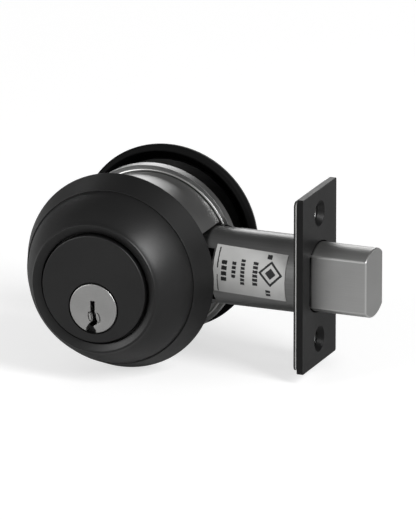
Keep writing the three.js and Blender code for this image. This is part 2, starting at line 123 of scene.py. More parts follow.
class Board:               # the node tree of one material, or of the world
    def __init__(self, name, world=None):
        self.owner = world or bpy.data.materials.new(name)
        self.owner.use_nodes = True
        self.tree = self.owner.node_tree
        self.shader = self.tree.nodes["Background" if world else "Principled BSDF"]

    def node(self, kind, settings=None, inputs=None, output=0, stops=None):
        made = self.tree.nodes.new(kind)
        for key, value in (settings or {}).items():
            setattr(made, key, value)
        for place, colour in stops or []:
            spare = made.color_ramp.elements
            stop = spare[0] if place == 0 else spare[-1] if place == 1 else spare.new(place)
            stop.color = (*colour, 1)
        for key, value in (inputs or {}).items():
            self.plug(made.inputs[key], value)
        return Wire(self, made.outputs[output])

    def plug(self, socket, value):
        if isinstance(value, Wire):
            self.tree.links.new(value.socket, socket)
        else:
            socket.default_value = value

    def finish(self, **sockets):
        for name, value in sockets.items():
            self.plug(self.shader.inputs[name.replace("_", " ")], value)
        return self.owner

    def place(self, scale=(1, 1, 1)):
        spot = self.node("ShaderNodeTexCoord", output="Object")
        return self.node("ShaderNodeMapping", None, {"Vector": spot, "Scale": scale})

    def reach(self, letter, source="Object"):      # how far along X, Y or Z a spot lies
        spot = self.node("ShaderNodeTexCoord", output=source)
        return self.node("ShaderNodeSeparateXYZ", None, {0: spot}, letter)

    def noise(self, scale, detail=4, rough=0.5, stretch=(1, 1, 1)):
        return self.node("ShaderNodeTexNoise", None, {
            "Vector": self.place(stretch), "Scale": scale, "Detail": detail, "Roughness": rough})

    def ramp(self, value, stops):
        return self.node("ShaderNodeValToRGB", None, {0: value}, stops=stops)

    def spread(self, value, low, high):      # a 0 to 1 pattern, stretched to run from low to high
        return self.node("ShaderNodeMapRange", None, {
            "Value": value, "From Min": 0.3, "From Max": 0.7, "To Min": low, "To Max": high})

    def bump(self, height, distance, strength=1.0, normal=None):
        inputs = {"Height": height, "Distance": distance, "Strength": strength}
        if normal:
            inputs["Normal"] = normal
        return self.node("ShaderNodeBump", None, inputs)

    def mixColour(self, factor, first, second):
        return self.node("ShaderNodeMix", {"data_type": "RGBA"}, {0: factor, 6: first, 7: second}, 2)


def grey(level):
    return (level, level, level)


blackSet = {"deep": (0.0045, 0.0045, 0.0048), "worn": (0.0095, 0.0094, 0.0093), "roughness": (0.36, 0.46)}
# A darker, duller black for the rose's rim and inside: partly a matte finish, partly painted shade.
dullShadedSet = {"deep": (0.002, 0.002, 0.0021), "worn": (0.0045, 0.0045, 0.0045), "roughness": (0.62, 0.75),
           "shine": 0.12}


def blackPaint(name, deep, worn, roughness, shine=0.5):
    board = Board(name)
    cloud = board.noise(90, 5)
    peel = board.noise(2600, 2)
    speck = board.noise(5200, 1)
    skin = board.bump(peel, 0.00002, 0.5)
    return board.finish(
        Base_Color=board.ramp(cloud, [(0, deep), (1, worn)]),
        Roughness=board.spread(cloud * 0.5 + speck * 0.5, *roughness),
        Metallic=0.0, Specular_IOR_Level=shine,
        Normal=board.bump(speck, 0.000008, 0.4, skin))


rimWobble = 0.1 * mm
rimHighlightSteel = (0.78, 0.78, 0.77, 1)


# Paint that stops short of a plate's front rim, where bright bare steel shows: partly bare metal, partly a
# painted highlight on the front edge.
def rimmedPaint(rimHighlightX):
    board = Board("rimmedPaint")
    cloud = board.noise(90, 5)
    rimHighlight = board.reach("X") + (board.noise(2400, 2) - 0.5) * rimWobble > rimHighlightX
    painted = board.ramp(cloud, [(0, blackSet["deep"]), (1, blackSet["worn"])])
    return board.finish(
        Base_Color=board.mixColour(rimHighlight, painted, rimHighlightSteel),
        Roughness=board.spread(cloud, *blackSet["roughness"]),
        Metallic=rimHighlight,
        Normal=board.bump(board.noise(2600, 2), 0.00002, 0.4))


# Painted shade on the bolt where it leaves the faceplate: a black band standing in for the shadow in that
# gap.
gapShade = {"colour": (0.006, 0.006, 0.006, 1), "inner": 0.3, "outer": 0.5}      # its edge fades over this


# A metal with fine lines; stretch is small along the lines and large across them.
def linedMetal(name, dark, light, roughness, stretch, lineDepth=0.000006, cloudScale=70, gapShadeX=None):
    board = Board(name)
    lines = board.noise(1, 6, 0.65, stretch)
    cloud = board.noise(cloudScale, 4)
    pits = board.noise(1900, 2)
    tone = lines * 0.55 + cloud * 0.45
    grain = board.bump(lines, lineDepth, 0.6)
    middle = tuple((a + b) / 2 for a, b in zip(dark, light))
    colour = board.ramp(tone, [(0, dark), (0.5, middle), (1, light)])
    if gapShadeX is not None:              # painted shade: black up to this place along X, standing in for the shadow in the gap where the bolt leaves the faceplate
        unshaded = board.node("ShaderNodeMapRange", None, {
            "Value": board.reach("X") + (cloud - 0.5) * mm,
            "From Min": gapShadeX - gapShade["inner"] * mm, "From Max": gapShadeX + gapShade["outer"] * mm})
        colour = board.mixColour(unshaded, gapShade["colour"], colour)
    return board.finish(
        Base_Color=colour,
        Roughness=board.spread(tone, *roughness),
        Metallic=1.0,
        Normal=board.bump(pits, 0.000004, 0.4, grain))


alongX = (60, 5200, 5200)
aroundY = (260, 6200, 260)

paint = blackPaint("blackPaint", **blackSet)
dullShadedPaint = blackPaint("dullShadedPaint", **dullShadedSet)
platePaint = blackPaint("platePaint", **{**blackSet, "shine": 0.25})
boltSteel = linedMetal("boltSteel", (0.4, 0.4, 0.396), (0.6, 0.6, 0.592), (0.38, 0.5), alongX,
                       gapShadeX=boxOf("faceplate")[1].x * mm)
# Brighter steel for bevels and the ring's bead: partly polished edges, partly a painted highlight where rough
# steel would show none.
edgeGlintSteel = linedMetal("edgeGlintSteel", (0.62, 0.62, 0.612), (0.8, 0.8, 0.79), (0.3, 0.4), alongX)
plugNickel = linedMetal("plugNickel", (0.34, 0.34, 0.337), (0.62, 0.617, 0.605), (0.34, 0.48),
                        (400, 400, 5200), 0.00001)
drumZinc = linedMetal("drumZinc", (0.2, 0.2, 0.2), (0.5, 0.5, 0.495), (0.3, 0.44), aroundY)
plated = linedMetal("plated", (0.15, 0.15, 0.15), (0.36, 0.36, 0.357), (0.26, 0.38), (45, 1500, 1500),
                    0.000004, 55)
brightSteel = linedMetal("brightSteel", (0.42, 0.42, 0.415), (0.7, 0.7, 0.69), (0.2, 0.32), aroundY)
darkSteel = linedMetal("darkSteel", (0.035, 0.035, 0.036), (0.1, 0.1, 0.098), (0.35, 0.55), alongX)
pinBrass = linedMetal("pinBrass", (0.38, 0.26, 0.09), (0.66, 0.48, 0.2), (0.22, 0.38), aroundY)
castZinc = linedMetal("castZinc", (0.2, 0.2, 0.2), (0.42, 0.42, 0.415), (0.35, 0.55), (900, 900, 900),
                      0.00002)
print("finishes mixed")


def leaveEdit():
    if bpy.context.object and bpy.context.object.mode != "OBJECT":
        bpy.ops.object.mode_set(mode="OBJECT")
    bpy.ops.object.select_all(action="DESELECT")


def only(piece):
    leaveEdit()
    piece.select_set(True)
    bpy.context.view_layer.objects.active = piece


def startPoint(name, at):          # a single vertex to draw an outline from
    leaveEdit()
    bpy.ops.mesh.primitive_plane_add(size=mm, location=at)
    piece = bpy.context.object
    piece.name = name
    piece.data.name = name
    bpy.ops.object.transform_apply(location=True, rotation=True, scale=True)
    bpy.ops.object.mode_set(mode="EDIT")
    bpy.ops.mesh.select_all(action="SELECT")
    bpy.ops.mesh.merge(type="CENTER")
    return piece


def drawLine(name, points):        # extrudes one vertex from point to point
    points = [Vector(point) * mm for point in points]
    piece = startPoint(name, points[0])
    for here, there in zip(points, points[1:]):
        bpy.ops.mesh.extrude_region_move(TRANSFORM_OT_translate={"value": there - here})
    bpy.ops.mesh.select_all(action="SELECT")
    return piece


def closeSkin(piece):
    bpy.ops.mesh.select_all(action="SELECT")
    bpy.ops.mesh.remove_doubles(threshold=0.000002)
    bpy.ops.mesh.normals_make_consistent(inside=False)
    leaveEdit()


# Spins an outline of (radius, along) points, in mm, about an axis along X or Y through a centre.
def turnPiece(name, outline, centre=(0, 0, 0), axis="Y", steps=128):
    centre = Vector(centre)
    if outline[0][0] > 0:
        outline = outline + outline[:1]
    if axis == "Y":
        points = [centre + Vector((r, along, 0)) for r, along in outline]
    else:
        points = [centre + Vector((along, 0, r)) for r, along in outline]
    piece = drawLine(name, points)
    bpy.ops.mesh.spin(steps=steps, angle=2 * math.pi, center=centre * mm,
                      axis=(0, 1, 0) if axis == "Y" else (1, 0, 0))
    closeSkin(piece)
    return piece


# Fills a flat outline and gives it thickness. Points are (y, z) along X, (x, z) along Y, (x, y) along Z.
def slabPiece(name, outline, fromAlong, toAlong, axis):
    if axis == "X":
        points = [(fromAlong, u, v) for u, v in outline]
        push = (toAlong - fromAlong, 0, 0)
    elif axis == "Y":
        points = [(u, fromAlong, v) for u, v in outline]
        push = (0, toAlong - fromAlong, 0)
    else:
        points = [(u, v, fromAlong) for u, v in outline]
        push = (0, 0, toAlong - fromAlong)
    piece = drawLine(name, points)
    bpy.ops.mesh.edge_face_add()
    bpy.ops.mesh.extrude_region_move(TRANSFORM_OT_translate={"value": Vector(push) * mm})
    closeSkin(piece)
    return piece


def blockPiece(name, low, high):
    outline = [(low[1], low[2]), (high[1], low[2]), (high[1], high[2]), (low[1], high[2])]
    return slabPiece(name, outline, low[0], high[0], "X")


def rodPiece(name, r, fromAlong, toAlong, centre, axis="Y", steps=48):
    return turnPiece(name, [(0, fromAlong), (r, fromAlong), (r, toAlong), (0, toAlong)],
                     centre, axis, steps)


def applyModifier(piece, kind, **settings):
    only(piece)
    modifier = piece.modifiers.new(kind.title(), kind)
    for key, value in settings.items():
        setattr(modifier, key, value)
    bpy.ops.object.modifier_apply(modifier=modifier.name)


def cutAway(piece, *tools):
    for tool in tools:
        applyModifier(piece, "BOOLEAN", operation="DIFFERENCE", solver="EXACT", object=tool)
        bpy.data.objects.remove(tool, do_unlink=True)


def fuse(piece, added):
    applyModifier(piece, "BOOLEAN", operation="UNION", solver="EXACT", object=added)
    bpy.data.objects.remove(added, do_unlink=True)


def softenEdges(piece, width, segments=3, angle=28, finish=-1):      # finish is a material's place
    applyModifier(piece, "BEVEL", width=width * mm, segments=segments, limit_method="ANGLE",
                  angle_limit=math.radians(angle), use_clamp_overlap=True, miter_outer="MITER_ARC",
                  material=finish)


def coat(piece, *materials):
    for material in materials:
        piece.data.materials.append(material)


def dress(piece, material, body, slot, *replaced, angle=30):
    only(piece)
    bpy.ops.object.shade_smooth_by_angle(angle=math.radians(angle))
    applyModifier(piece, "WEIGHTED_NORMAL", weight=90, keep_sharp=True)
    if not piece.data.materials:
        coat(piece, material)
    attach(piece, body)
    if replaced:
        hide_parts(*replaced)
    return piece


def arcPoints(centreU, centreV, r, fromDegrees, toDegrees, steps):
    spots = []
    for i in range(steps + 1):
        angle = math.radians(fromDegrees + (toDegrees - fromDegrees) * i / steps)
        spots.append((centreU + r * math.cos(angle), centreV + r * math.sin(angle)))
    return spots


def curvePoints(start, first, second, end, steps):      # a smooth curve pulled by two handles
    spots = []
    for i in range(steps + 1):
        t = i / steps
        weights = ((1 - t) ** 3, 3 * t * (1 - t) ** 2, 3 * t * t * (1 - t), t ** 3)
        spots.append(tuple(sum(w * p[k] for w, p in zip(weights, (start, first, second, end)))
                           for k in (0, 1)))
    return spots


def boltOutline(r, flat, steps=20):       # a circle with flat sides at -flat and +flat
    angle = math.degrees(math.acos(flat / r))
    return (arcPoints(0, 0, r, angle, 180 - angle, steps)
            + arcPoints(0, 0, r, 180 + angle, 360 - angle, steps))


collarLow, collarHigh = boxOf("outside_collar")
shellLow, shellHigh = boxOf("cylinder_shell")
plugLow, plugHigh = boxOf("key_plug")
plugZ = (plugLow.z + plugHigh.z) / 2
faceR = (plugHigh.x - plugLow.x) / 2

collarSet = {"creaseR": 28.5, "creaseY": -26.1, "creaseStep": 0.5, "lipR": 20.8, "holeR": 18.05,
             "dish": 1.05, "seatY": -36.1, "seatR": 15.3, "floor": 2.2, "wallR": 29.2, "edge": 0.3,
             "coneHandles": [(27, -29.6), (24.4, -34.3)], "coneEnd": (22.3, -37.2),
             "flareHandles": [(21.75, -37.95), (21.35, -38.5)],
             "hollow": [(23.2, -30.4), (25.6, -25.4)], "hollowR": 20.4, "soft": 0.06}


def makeCollar():
    c = collarSet
    rearR, rearY, lipY = collarHigh.x, collarHigh.y, collarLow.y
    crease = (c["creaseR"] - c["creaseStep"], c["creaseY"] - 0.05)
    cone = curvePoints(crease, *c["coneHandles"], c["coneEnd"], 16)
    flare = curvePoints(c["coneEnd"], *c["flareHandles"], (c["lipR"] + 0.25, lipY + 0.3), 6)
    outline = [(rearR - c["edge"], rearY), (rearR, rearY - c["edge"]), (c["creaseR"], c["creaseY"] + 0.1),
                (c["creaseR"] - 0.12, c["creaseY"]), (crease[0], c["creaseY"] + 0.12)]
    outline += cone + flare[1:]
    outline += [(c["lipR"], lipY), (c["lipR"] - 0.5, lipY + 0.02)]
    outline += [(c["holeR"] + 0.25, lipY + c["dish"] - 0.1), (c["holeR"], lipY + c["dish"] + 0.15)]
    floorY = c["seatY"] + c["floor"]
    outline += [(c["holeR"], c["seatY"]), (c["seatR"], c["seatY"]), (c["seatR"], floorY)]
    outline += [(c["hollowR"], floorY), *c["hollow"], (c["wallR"], rearY)]
    collar = turnPiece("outsideCollar", outline, steps=192)
    softenEdges(collar, c["soft"], 2, 40)
    return dress(collar, paint, "collar", "black_paint", "outside_collar", angle=14)


makeCollar()
print("collar turned")

shellSet = {"headDepth": 3.5, "bodyR": 14.6, "boreClear": 0.3, "rim": 0.42, "edge": 0.1,
            "seatClear": 0.5, "seatDepth": 2.3, "capHalf": 2.1, "capEnd": 2.2, "capFloor": 9.9,
            "pinFirstY": -33.5, "pinPitch": 3.5, "chamberR": 1.7, "chamberTop": 10.4}
pinYs = [shellSet["pinFirstY"] + shellSet["pinPitch"] * i for i in range(5)]
plugSet = {"bodyR": 6.35, "faceDepth": 2, "neckR": 5, "neckWidth": 1.3, "endR": 5.6, "endWidth": 2.2,
           "rim": 0.3, "edge": 0.14, "grooveDepth": 0.7, "wardGroove": 0.38,
           "chamberLow": 1, "chamberHigh": 8}
cylinderScrew = {"r": 2, "x": 10.4, "z": 2, "startY": -26.3}
bladeSlot = {"half": 2.6, "halfThick": 0.9, "plugY": -15.3, "spindleY": 16}


def pinChambers(fromZ, toZ):       # a tool for each pin's round chamber
    r = shellSet["chamberR"]
    return [slabPiece("chamber", arcPoints(0, y, r, 0, 345, 23), fromZ, toZ, "Z") for y in pinYs]


def screwHoles(fromY, toY):        # tools for the two cylinder screws' holes
    c = cylinderScrew
    return [rodPiece("screwHole", c["r"], fromY, toY, (side * c["x"], 0, c["z"]), steps=24)
            for side in (-1, 1)]


def bladeTool(fromY, toY):         # the flat slot that the tailpiece sits in
    half, thick = bladeSlot["half"], bladeSlot["halfThick"]
    return blockPiece("bladeSlot", (-half, fromY, plugZ - thick), (half, toY, plugZ + thick))


def makeShell():
    s = shellSet
    headR, faceY, endY = shellHigh.x, shellLow.y, shellHigh.y
    headY = faceY + s["headDepth"]
    outline = [(0, faceY), (headR, faceY), (headR, headY), (s["bodyR"], headY), (s["bodyR"], endY), (0, endY)]
    shell = turnPiece("cylinderShell", outline, steps=160)
    softenEdges(shell, s["rim"], 4)
    seatY = plugLow.y + s["seatDepth"]
    boreR = plugSet["bodyR"] + s["boreClear"]
    tools = [rodPiece("bore", boreR, faceY - 1, endY + 1, (0, 0, plugZ), steps=96),
             rodPiece("faceSeat", faceR + s["seatClear"], faceY - 1, seatY, (0, 0, plugZ), steps=128),
             blockPiece("capSlot", (-s["capHalf"], pinYs[0] - s["capEnd"], s["capFloor"]),
                        (s["capHalf"], endY + 1, s["bodyR"] + 1))]
    tools += pinChambers(plugZ, s["chamberTop"])
    tools += screwHoles(cylinderScrew["startY"], endY + 1)
    cutAway(shell, *tools)
    softenEdges(shell, s["edge"], 2, 60)
    return dress(shell, paint, "lock_case", "black_paint", "cylinder_shell")


makeShell()
print("cylinder shell bored")

keywayOutline = [(-0.9, 2.5), (0.6, 2.5), (0.62, -1.1), (0.92, -2.6), (1.3, -3.9), (1.4, -4.9),
                 (0.25, -5.6), (0.2, -6), (1, -6.9), (1, -8.4), (-2.4, -8.4), (-2.4, -6.6),
                 (-1.4, -5), (-0.5, -4.2), (-0.4, -2.8), (-0.6, -1.7), (-1.7, -1.6), (-1.7, -1.2),
                 (-0.9, -1.1)]
wards = [(-1.02, -2.8, 0.34, 1.15, 10), (1.62, -2.9, 0.5, 1.4, 14)]   # x, z, half width and height, lean


def wardOutline(x, z, halfX, halfZ, lean):       # a leaning oval
    across, up = math.cos(math.radians(lean)), math.sin(math.radians(lean))
    outline = []
    for i in range(24):
        turn = math.radians(15 * i)
        u, v = halfX * math.cos(turn), halfZ * math.sin(turn)
        outline.append((x + u * across - v * up, z + plugZ + u * up + v * across))
    return outline


def makePlug():
    p = plugSet
    faceY, endY = plugLow.y, plugHigh.y
    neckY = endY - p["endWidth"]
    bodyEndY = neckY - p["neckWidth"]
    outline = [(0, faceY), (faceR, faceY), (faceR, faceY + p["faceDepth"]),
               (p["bodyR"], faceY + p["faceDepth"]), (p["bodyR"], bodyEndY), (p["neckR"], bodyEndY),
               (p["neckR"], neckY), (p["endR"], neckY), (p["endR"], endY), (0, endY)]
    plug = turnPiece("keyPlug", outline, (0, 0, plugZ), steps=128)
    softenEdges(plug, p["rim"], 4)
    keyway = [(x, z + plugZ) for x, z in keywayOutline]
    tools = [slabPiece("keyway", keyway, faceY - 1, neckY - 2, "Y"), bladeTool(bladeSlot["plugY"], endY + 1)]
    tools += pinChambers(plugZ + p["chamberLow"], plugZ + p["chamberHigh"])
    for x, z, halfX, halfZ, lean in wards:      # a groove round each ward's end
        outside = wardOutline(x, z, halfX + p["wardGroove"], halfZ + p["wardGroove"], lean)
        inside = wardOutline(x, z, halfX, halfZ, lean)
        groove = slabPiece("groove", outside, faceY - 1, faceY + p["grooveDepth"], "Y")
        cutAway(groove, slabPiece("ward", inside, faceY - 2, faceY + 2, "Y"))
        tools.append(groove)
    cutAway(plug, *tools)
    # The bevels get the brighter edge steel: partly a polished, burred edge, partly a painted highlight.
    coat(plug, plugNickel, edgeGlintSteel)
    softenEdges(plug, p["edge"], 2, 60, 1)
    return dress(plug, plugNickel, "key_plug", "nickel_silver", "key_plug")


makePlug()
print("key plug cut")


drumLow, drumHigh = boxOf("chassis_drum")
ringLow, ringHigh = boxOf("support_ring")
tubeLow, tubeHigh = boxOf("bolt_tube")
tubeR = tubeHigh.z
chassisX = (ringLow.x + ringHigh.x) / 2
chassisSet = {"wall": 2, "web": 2.5, "notchR": tubeR + 0.4, "notchFront": 12.6, "bossR": 4.2, "bossY": -2,
              "plugHoleR": 8.2, "throughZ": 19.5, "throughR": 2.6, "ringInnerR": 22.8, "edge": 0.3,
              "ringEdge": 0.28,
              "bead": [(26.5, 0), (26.56, 0.32), (26.78, 0.45), (27, 0.32), (27.06, 0)]}


def makeDrum():
    c = chassisSet
    r, frontY, rearY = drumHigh.z, drumLow.y, drumHigh.y
    webY = frontY + c["web"]
    outline = [(0, frontY), (r, frontY), (r, rearY), (r - c["wall"], rearY), (r - c["wall"], webY), (0, webY)]
    drum = turnPiece("chassisDrum", outline, (chassisX, 0, 0), steps=160)
    softenEdges(drum, c["edge"], 3)
    for side in (-1, 1):
        boss = rodPiece("boss", c["bossR"], webY - 0.6, c["bossY"], (0, 0, side * c["throughZ"]), steps=48)
        fuse(drum, boss)
    notchR, reach = c["notchR"], chassisX + r + 1
    tools = [rodPiece("plugHole", c["plugHoleR"], frontY - 1, webY + 1, (0, 0, plugZ), steps=64),
             rodPiece("tubeNotch", notchR, 0, reach, (0, 0, 0), "X", 96),
             blockPiece("frontNotch", (0, -notchR, -c["notchFront"]), (reach, 0.1, c["notchFront"])),
             blockPiece("tubeSlot", (0, 0, -notchR), (reach, rearY + 1, notchR))]
    for side in (-1, 1):
        tools.append(rodPiece("throughHole", c["throughR"], frontY - 1, c["bossY"] + 1,
                              (0, 0, side * c["throughZ"]), steps=32))
    tools += screwHoles(frontY - 1, webY + 1)
    cutAway(drum, *tools)
    return dress(drum, drumZinc, "lock_case", "cast_zinc", "chassis_drum")


def makeRing():
    c = chassisSet
    r, frontY, rearY = ringHigh.z, ringLow.y, ringHigh.y
    bead = [(radius, frontY - height) for radius, height in c["bead"]]
    outline = [(c["ringInnerR"], frontY)] + bead + [(r, frontY), (r, rearY), (c["ringInnerR"], rearY)]
    ring = turnPiece("supportRing", outline, (chassisX, 0, 0), steps=160)
    coat(ring, drumZinc, edgeGlintSteel)
    for face in ring.data.polygons:      # the bead gets the brighter edge steel: partly polished metal, partly a painted highlight for the bright arc at the drum's rear
        if face.center.y < (frontY - 0.01) * mm:
            face.material_index = 1
    cutAway(ring, rodPiece("tubeNotch", c["notchR"], 0, chassisX + r + 1, (0, 0, 0), "X", 96))
    softenEdges(ring, c["ringEdge"], 3, 50)
    return dress(ring, drumZinc, "lock_case", "cast_zinc", "support_ring")


makeDrum()
makeRing()
print("chassis drum and ring turned")


plateLow, plateHigh = boxOf("faceplate")
backLow, backHigh = boxOf("backing_plate")
boltLow, boltHigh = boxOf("bolt")
boltSet = {"r": 11.1125, "flat": 7.14, "bevel": 0.42, "openR": 11.56, "openFlat": 8.4, "tailSlotX": 38.5,
           "tailSlot": (2.4, 4.6), "guardR": 3.3, "guardZ": -5, "noseWall": 5,
           "rivetR": 1.8, "rivets": [(32, 5.5), (35.5, 1.2)]}
plateSet = {"screwZ": 20.65, "holeR": 2.6, "sinkR": 4.2, "sinkDepth": 1.7, "edge": 0.16, "corner": 0.7}
backingSet = {"holeR": 12.5, "corner": 1.6, "edge": 0.12, "highlightRim": 0.4}
tubeSet = {"wall": 0.7, "windowInset": 2.5, "windowEndX": 28.5, "windowLow": -9, "windowHigh": 8,
           "edge": 0.15}


def roundedRectangle(halfU, halfV, r, steps=5):
    spots = []
    for turn, u, v in ((0, 1, 1), (90, -1, 1), (180, -1, -1), (270, 1, -1)):
        spots += arcPoints(u * (halfU - r), v * (halfV - r), r, turn, turn + 90, steps)
    return spots


def sinkTools(frontX):
    p = plateSet
    outline = [(0, frontX - 8), (p["holeR"], frontX - 8), (p["holeR"], frontX - p["sinkDepth"]),
               (p["sinkR"], frontX + 0.01), (p["sinkR"] + 0.4, frontX + 1), (0, frontX + 1)]
    return [turnPiece("sink", outline, (0, 0, side * p["screwZ"]), "X", 64) for side in (-1, 1)]


def makeFaceplate():
    outline = roundedRectangle(plateHigh.y, plateHigh.z, plateSet["corner"])
    plate = slabPiece("facePlate", outline, plateLow.x, plateHigh.x, "X")
    opening = slabPiece("opening", boltOutline(boltSet["openR"], boltSet["openFlat"]),
                        plateLow.x - 1, plateHigh.x + 1, "X")
    cutAway(plate, opening, *sinkTools(plateHigh.x))
    softenEdges(plate, plateSet["edge"], 3, 35)
    return dress(plate, platePaint, "lock_case", "black_paint", "faceplate")


def makeBackingPlate():
    b = backingSet
    outline = roundedRectangle(backHigh.y, backHigh.z, b["corner"], 6)
    plate = slabPiece("backingPlate", outline, backLow.x, backHigh.x, "X")
    hole = rodPiece("hole", b["holeR"], backLow.x - 1, backHigh.x + 1, (0, 0, 0), "X", 96)
    cutAway(plate, hole, *sinkTools(backHigh.x + 1))
    softenEdges(plate, b["edge"], 3, 35)
    # The bright front rim is partly bare metal and partly a painted highlight.
    finish = rimmedPaint((backHigh.x - b["highlightRim"]) * mm)
    return dress(plate, finish, "lock_case", "zinc_plated_steel", "backing_plate")


def makeTube():
    t = tubeSet
    innerR = tubeR - t["wall"]
    outline = [(innerR, tubeLow.x), (tubeR, tubeLow.x), (tubeR, tubeHigh.x), (innerR, tubeHigh.x)]
    tube = turnPiece("boltTube", outline, axis="X", steps=128)
    cutAway(tube, blockPiece("window", (tubeLow.x + t["windowInset"], -20, t["windowLow"]),
                             (t["windowEndX"], 20, t["windowHigh"])))
    softenEdges(tube, t["edge"], 2)
    return dress(tube, plated, "lock_case", "zinc_plated_steel", "bolt_tube")


def makeBolt():
    b = boltSet
    bar = slabPiece("deadbolt", boltOutline(b["r"], b["flat"]), boltLow.x, boltHigh.x, "X")
    # The bevels get the brighter edge steel: partly a polished chamfer, partly a painted highlight.
    coat(bar, boltSteel, edgeGlintSteel)
    softenEdges(bar, b["bevel"], 3, 35, 1)
    tools = [rodPiece("guardHole", b["guardR"], boltLow.x - 1, boltHigh.x - b["noseWall"],
                      (0, 0, b["guardZ"]), "X", 32)]
    for side in (-1, 1):
        low, high = sorted(side * y for y in b["tailSlot"])
        tools.append(blockPiece("tailSlot", (boltLow.x - 1, low, -12), (b["tailSlotX"], high, 12)))
    for x, z in b["rivets"]:
        tools.append(rodPiece("rivetHole", b["rivetR"], -9, 9, (x, 0, z), steps=24))
    cutAway(bar, *tools)
    return dress(bar, boltSteel, "bolt", "satin_steel", "bolt")


makeFaceplate()
makeBackingPlate()
makeTube()
makeBolt()
print("bolt assembly made")

labelSet = {
    "startX": 29.2, "endX": 53.4, "top": 49, "bottom": -24, "slant": 2.6, "thick": 0.16, "lift": 0.06,
    "ink": (0.012, 0.012, 0.013, 1),
    "rules": [(1.2, 1.6, 0.8, 7.6), (1.3, 1.6, 9.6, 15.4)],      # from and to across, from and to down
    "columns": [(2.7, 4.5, 4.9, 1.75, 4), (6.2, 7.6, 4.9, 1.35, 4), (9.2, 10.6, 3.7, 1.2, 7),
                (13.3, 15, 3.9, 1.3, 6), (17.6, 19.2, 0.9, 2, 1), (17.6, 19.2, 12.3, 1.2, 2)],
    "mark": (19.3, 6.9),               # the diamond's centre, across and down
    "markLine": (3.1, 4.1),
    "markDot": 1.8,
}


def labelStock():
    board = Board("labelStock")
    s = labelSet
    across = board.reach("X") * (1 / mm) - s["startX"]
    angle = board.node("ShaderNodeMath", {"operation": "ARCTAN2"}, {
        0: board.reach("Z"), 1: board.reach("Y") * -1})
    slope = math.tan(math.radians(s["slant"]))
    down = math.radians(s["top"]) * tubeR - angle * tubeR - across * slope
    edge = board.noise(2200, 3)
    wobble = (edge - 0.5) * 0.35

    def patch(fromAcross, toAcross, fromDown, toDown):
        halfA, halfD = (toAcross - fromAcross) / 2, (toDown - fromDown) / 2
        inA = abs(across - (fromAcross + halfA) + wobble) < halfA
        inD = abs(down - (fromDown + halfD) + wobble) < halfD
        return inA * inD

    ink = patch(*s["rules"][0]) + patch(*s["rules"][1])
    for left, right, top, pitch, count in s["columns"]:      # short bars, one under another
        for i in range(count):
            ink = ink + patch(left, right, top + pitch * i, top + pitch * (i + 0.74))
    fromMark = abs(across - s["mark"][0] + wobble) + abs(down - s["mark"][1] + wobble)
    lineFrom, lineTo = s["markLine"]
    ink = ink + (fromMark < lineTo) * (fromMark > lineFrom) + (fromMark < s["markDot"])
    cloud = board.noise(160, 4)
    stock = board.ramp(cloud, [(0, (0.52, 0.52, 0.51)), (1, (0.7, 0.7, 0.69))])
    inked = board.node("ShaderNodeMath", {"operation": "MINIMUM"}, {0: ink, 1: 1.0})
    return board.finish(
        Base_Color=board.mixColour(inked, stock, s["ink"]),
        Roughness=board.spread(cloud, 0.42, 0.6),
        Metallic=0.0,
        Normal=board.bump(edge, 0.000006, 0.5))


def makeLabel():
    s = labelSet
    r = tubeR + s["lift"]
    steps = 24
    points = []
    for i in range(steps + 1):
        x = s["startX"] + (s["endX"] - s["startX"]) * i / steps
        drop = math.degrees((x - s["startX"]) * math.tan(math.radians(s["slant"])) / r)
        angle = math.radians(s["top"] - drop)
        points.append((x, -r * math.cos(angle), r * math.sin(angle)))
    sheet = drawLine("typeLabel", points)
    bpy.ops.mesh.spin(steps=24, angle=math.radians(s["bottom"] - s["top"]), center=(0, 0, 0), axis=(1, 0, 0))
    bpy.ops.mesh.select_all(action="SELECT")
    bpy.ops.mesh.normals_make_consistent(inside=False)
    leaveEdit()
    middle = sheet.data.polygons[len(sheet.data.polygons) // 2]
    if middle.normal.y > 0:
        only(sheet)
        bpy.ops.object.mode_set(mode="EDIT")
        bpy.ops.mesh.select_all(action="SELECT")
        bpy.ops.mesh.flip_normals()
        leaveEdit()
    applyModifier(sheet, "SOLIDIFY", thickness=s["thick"] * mm, offset=1)
    return dress(sheet, labelStock(), "lock_case", "label_stock", "type_label")


makeLabel()
print("label wrapped")


roseLow, roseHigh = boxOf("inside_rose")
knobLow, knobHigh = boxOf("thumbturn_knob")
spindleLow, spindleHigh = boxOf("thumbturn_spindle")
roseSet = {"innerR": 28.4, "floorR": 23.6, "floorY": 28.3, "holeR": 4.6, "shadedDepth": 2.2, "backR": 19,
           "bowl": [(24.4, 27.6), (26.5, 26.8), (27.9, 23.8)],
           "shoulder": [(29.6, 26.2), (26.9, 29.6)], "shoulderR": 22}


def makeRose():
    c = roseSet
    r, rimY, backY = roseHigh.x, roseLow.y, roseHigh.y
    outline = [(0, c["floorY"]), (c["floorR"], c["floorY"] - 0.2)]
    outline += curvePoints(*c["bowl"], (c["innerR"], rimY + 0.2), 10)
    outline += [(c["innerR"] + 0.15, rimY), (c["innerR"] + 0.5, rimY)]
    outline += curvePoints((r - 1.2, rimY + 0.2), (r - 0.5, rimY + 0.5), (r, rimY + 0.9), (r, rimY + 1.6), 8)
    outline += curvePoints((r - 0.1, rimY + 2.4), *c["shoulder"], (c["shoulderR"], backY - 0.2), 16)
    outline += [(c["backR"], backY), (0, backY)]
    cup = turnPiece("insideRose", outline, steps=192)
    coat(cup, paint, dullShadedPaint)
    for face in cup.data.polygons:      # the rim and the inside get the darker, duller paint: partly a matte finish, partly painted shade where they sit in shadow
        if face.center.y < (rimY + c["shadedDepth"]) * mm or face.normal.y < -0.05:
            face.material_index = 1
    cutAway(cup, rodPiece("hole", c["holeR"], backY - 6, backY + 1, (0, 0, plugZ), steps=64))
    return dress(cup, paint, "lock_case", "black_paint", "inside_rose", angle=16)


